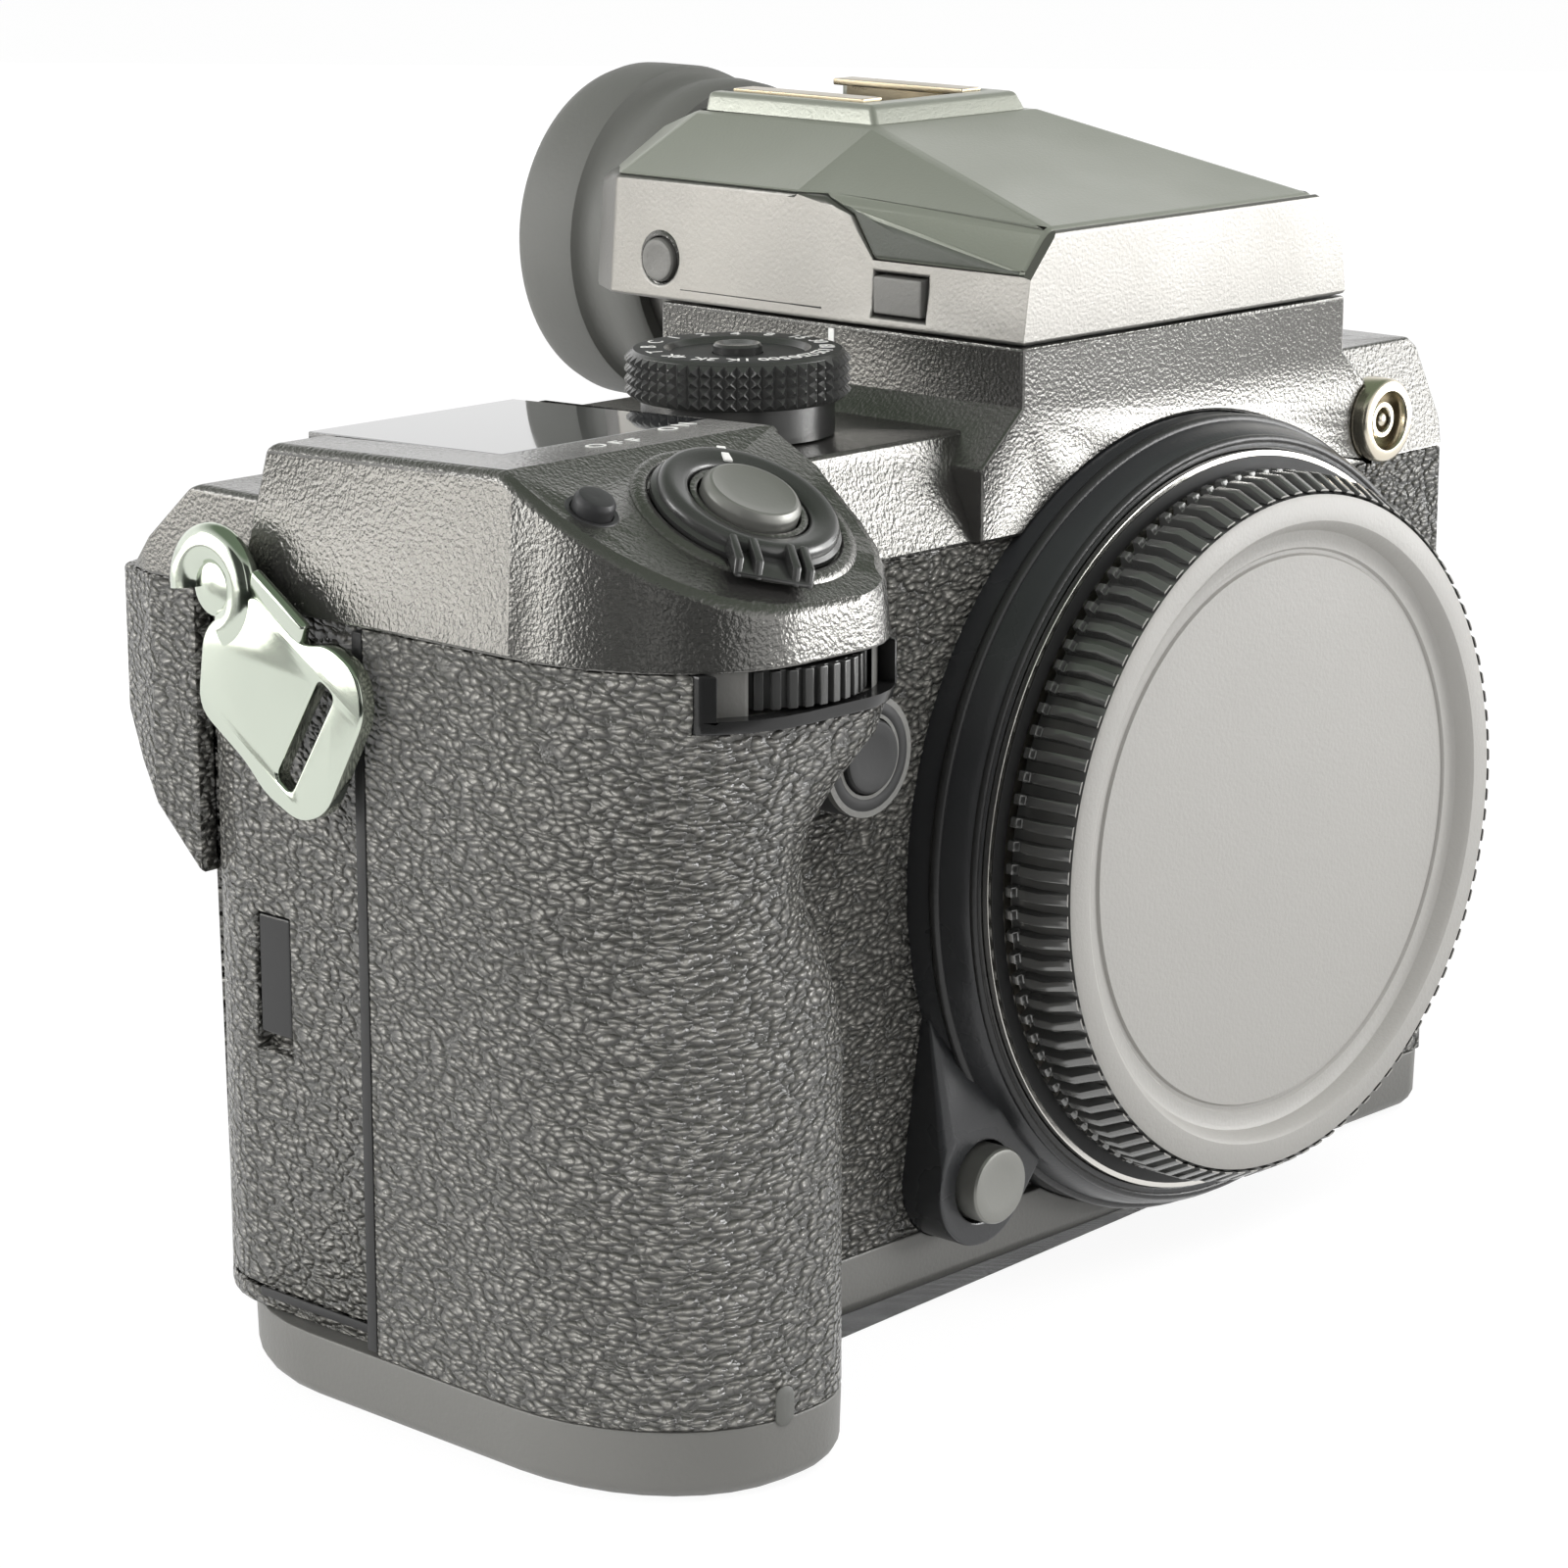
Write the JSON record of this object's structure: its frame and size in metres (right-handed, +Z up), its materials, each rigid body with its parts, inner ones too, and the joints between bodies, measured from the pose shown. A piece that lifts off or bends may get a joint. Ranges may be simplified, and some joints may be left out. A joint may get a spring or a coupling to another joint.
{
  "type": "medium format digital camera",
  "caption": "Medium format digital camera body with a deep leather-covered grip, capped lens mount, slide-off viewfinder, top dials, tilting rear display and a strap clip.",
  "frame": {"origin": "mouth of the tripod socket in the base, under the image sensor, on the lens axis line", "axes": "+Z up, -Y to the front along the lens axis, +X to the right-hand side seen from the front"},
  "size_m": [0.1543, 0.1049, 0.1154],
  "materials": {
    "leatherette": "pebbled, low sheen",
    "satin_paint": "fine textured satin black",
    "roof_paint": "dull satin",
    "cover_paint": "satin dark grey",
    "collar_paint": "matte black",
    "bright_steel": "fine turned",
    "nickel": "polished nickel",
    "black_metal": "black anodised",
    "dark_metal": "satin dark anodised",
    "black_plastic": "fine matte",
    "cap_plastic": "fine matte grey",
    "rubber": "soft matte",
    "dark_glass": "dark coated",
    "sensor_face": "gloss",
    "board_green": "matte",
    "contact_gold": "gold plated"
  },
  "bodies": {
    "body": {"front_cover": "cover_paint", "grip_leather": "leatherette", "front_leather": "leatherette", "top_cover": "satin_paint", "rear_cover": "cover_paint", "side_cover": "cover_paint", "base_plate": "cover_paint", "mount_collar": "collar_paint", "mount_ring": "bright_steel", "light_box": "black_plastic", "shutter_unit": "black_plastic", "image_sensor": "sensor_face", "main_board": "board_green", "contact_block": "contact_gold", "card_slots": "black_plastic", "battery_case": "black_plastic", "battery": "black_plastic", "sub_lcd_glass": "dark_glass", "sync_terminal": "bright_steel", "strap_lugs": "black_metal", "dial_trim": "dark_metal", "tripod_bush": "bright_steel"},
    "cap": {"body_cap": "cap_plastic"},
    "shutter": {"shutter_button": "black_metal"},
    "lever": {"power_lever": "black_metal"},
    "exposure": {"exposure_button": "black_plastic"},
    "front_wheel": {"front_dial": "black_metal"},
    "fn": {"fn_button": "black_plastic"},
    "release": {"lens_release": "black_plastic"},
    "speed": {"speed_dial": "black_metal"},
    "speed_pin": {"speed_lock": "black_metal"},
    "iso": {"iso_dial": "black_metal"},
    "iso_pin": {"iso_lock": "black_metal"},
    "drive": {"drive_button": "black_plastic"},
    "door": {"card_door": "leatherette"},
    "latch": {"card_latch": "black_plastic"},
    "clip": {"strap_clip": "nickel", "clip_lock": "nickel"},
    "battery_flap": {"battery_door": "cover_paint"},
    "port_flap": {"port_door": "rubber"},
    "finder": {"finder_housing": "satin_paint", "finder_roof": "roof_paint", "eyepiece": "dark_glass", "eyecup": "rubber", "hot_shoe": "bright_steel"},
    "finder_key_l": {"finder_release_l": "black_plastic"},
    "finder_key_r": {"finder_release_r": "black_plastic"},
    "view": {"view_button": "black_plastic"},
    "diopter": {"diopter_dial": "black_plastic"},
    "tilt_plate": {"lcd_tilt": "black_metal"},
    "drop_plate": {"lcd_drop": "black_metal"},
    "screen": {"lcd_frame": "black_plastic", "lcd_glass": "dark_glass"},
    "rear_wheel": {"rear_dial": "black_metal"},
    "stick": {"focus_stick": "rubber"},
    "pad": {"selector_pad": "black_plastic"},
    "play": {"play_button": "black_plastic"},
    "af": {"af_button": "black_plastic"}
  },
  "joints": [
    {"name": "cap_turn", "type": "hinge", "parent": "body", "child": "cap", "pos_m": [0, -0.0267, 0.04305], "axis": [0, 1, 0], "range_deg": [0, 60]},
    {"name": "shutter_press", "type": "slide", "parent": "body", "child": "shutter", "axis": [0, 0.4384, -0.8988], "range_m": [0, 0.0012], "stiffness_N_per_m": 300},
    {"name": "power_turn", "type": "hinge", "parent": "body", "child": "lever", "pos_m": [-0.0783, -0.0324, 0.08618], "axis": [0, -0.4384, 0.8988], "range_deg": [0, 40]},
    {"name": "exposure_press", "type": "slide", "parent": "body", "child": "exposure", "axis": [0, 0.4384, -0.8988], "range_m": [0, 0.0008], "stiffness_N_per_m": 300},
    {"name": "front_dial_turn", "type": "hinge", "parent": "body", "child": "front_wheel", "pos_m": [-0.0804, -0.0341, 0.0736], "axis": [0, 0, 1], "continuous": true},
    {"name": "fn_press", "type": "slide", "parent": "body", "child": "fn", "axis": [0, 1, 0], "range_m": [0, 0.001], "stiffness_N_per_m": 300},
    {"name": "lens_release_press", "type": "slide", "parent": "body", "child": "release", "axis": [0, 1, 0], "range_m": [0, 0.002], "stiffness_N_per_m": 300},
    {"name": "speed_turn", "type": "hinge", "parent": "body", "child": "speed", "pos_m": [-0.0449, 0.0003, 0.09], "axis": [0, 0, 1], "continuous": true},
    {"name": "speed_lock_press", "type": "slide", "parent": "speed", "child": "speed_pin", "axis": [0, 0, -1], "range_m": [0, 0.0006], "stiffness_N_per_m": 300},
    {"name": "iso_turn", "type": "hinge", "parent": "body", "child": "iso", "pos_m": [0.038, 0.0053, 0.09], "axis": [0, 0, 1], "continuous": true},
    {"name": "iso_lock_press", "type": "slide", "parent": "iso", "child": "iso_pin", "axis": [0, 0, -1], "range_m": [0, 0.0006], "stiffness_N_per_m": 300},
    {"name": "drive_press", "type": "slide", "parent": "body", "child": "drive", "axis": [0, 0, -1], "range_m": [0, 0.0006], "stiffness_N_per_m": 300},
    {"name": "card_door_open", "type": "hinge", "parent": "body", "child": "door", "pos_m": [-0.0968, -0.0031, 0.04], "axis": [0, 0, 1], "range_deg": [0, 6]},
    {"name": "card_latch_slide", "type": "slide", "parent": "door", "child": "latch", "axis": [0, 0, -1], "range_m": [0, 0.0012], "stiffness_N_per_m": 200},
    {"name": "clip_swing", "type": "hinge", "parent": "body", "child": "clip", "pos_m": [-0.1017, 0.0113, 0.0778], "axis": [1, 0, 0], "range_deg": [-100, 60]},
    {"name": "battery_door_open", "type": "hinge", "parent": "body", "child": "battery_flap", "pos_m": [0.047, 0.0166, 0.034], "axis": [0, 0, 1], "range_deg": [0, 90]},
    {"name": "port_door_open", "type": "hinge", "parent": "body", "child": "port_flap", "pos_m": [0.047, -0.015, 0.041], "axis": [0, 0, -1], "range_deg": [0, 90]},
    {"name": "finder_slide", "type": "slide", "parent": "body", "child": "finder", "axis": [0, -1, 0], "range_m": [-0.045, 0]},
    {"name": "finder_key_l_press", "type": "slide", "parent": "finder", "child": "finder_key_l", "axis": [1, 0, 0], "range_m": [0, 0.0005], "stiffness_N_per_m": 300},
    {"name": "finder_key_r_press", "type": "slide", "parent": "finder", "child": "finder_key_r", "axis": [-1, 0, 0], "range_m": [0, 0.0005], "stiffness_N_per_m": 300},
    {"name": "view_press", "type": "slide", "parent": "finder", "child": "view", "axis": [1, 0, 0], "range_m": [0, 0.0006], "stiffness_N_per_m": 300},
    {"name": "diopter_turn", "type": "hinge", "parent": "finder", "child": "diopter", "pos_m": [0.024, 0.0318, 0.0995], "axis": [1, 0, 0], "range_deg": [-120, 120]},
    {"name": "lcd_tilt_up", "type": "hinge", "parent": "body", "child": "tilt_plate", "pos_m": [0, 0.0343, 0.0645], "axis": [1, 0, 0], "range_deg": [0, 90]},
    {"name": "lcd_tilt_down", "type": "hinge", "parent": "tilt_plate", "child": "drop_plate", "pos_m": [0, 0.0368, 0.0075], "axis": [1, 0, 0], "range_deg": [-45, 0]},
    {"name": "lcd_swing", "type": "hinge", "parent": "drop_plate", "child": "screen", "pos_m": [0.042, 0.0393, 0.036], "axis": [0, 0, 1], "range_deg": [-60, 0]},
    {"name": "rear_dial_turn", "type": "hinge", "parent": "body", "child": "rear_wheel", "pos_m": [-0.072, 0.0289, 0.0708], "axis": [0, 0, 1], "continuous": true},
    {"name": "stick_tilt", "type": "hinge", "parent": "body", "child": "stick", "pos_m": [-0.0525, 0.0228, 0.057], "axis": [1, 0, 0], "range_deg": [-8, 8], "stiffness_Nm_per_rad": 0.02},
    {"name": "selector_press", "type": "slide", "parent": "body", "child": "pad", "axis": [0, -1, 0], "range_m": [0, 0.0006], "stiffness_N_per_m": 300},
    {"name": "play_press", "type": "slide", "parent": "body", "child": "play", "axis": [0, -1, 0], "range_m": [0, 0.0006], "stiffness_N_per_m": 300},
    {"name": "af_press", "type": "slide", "parent": "body", "child": "af", "axis": [0, -1, 0], "range_m": [0, 0.0008], "stiffness_N_per_m": 300}
  ]
}
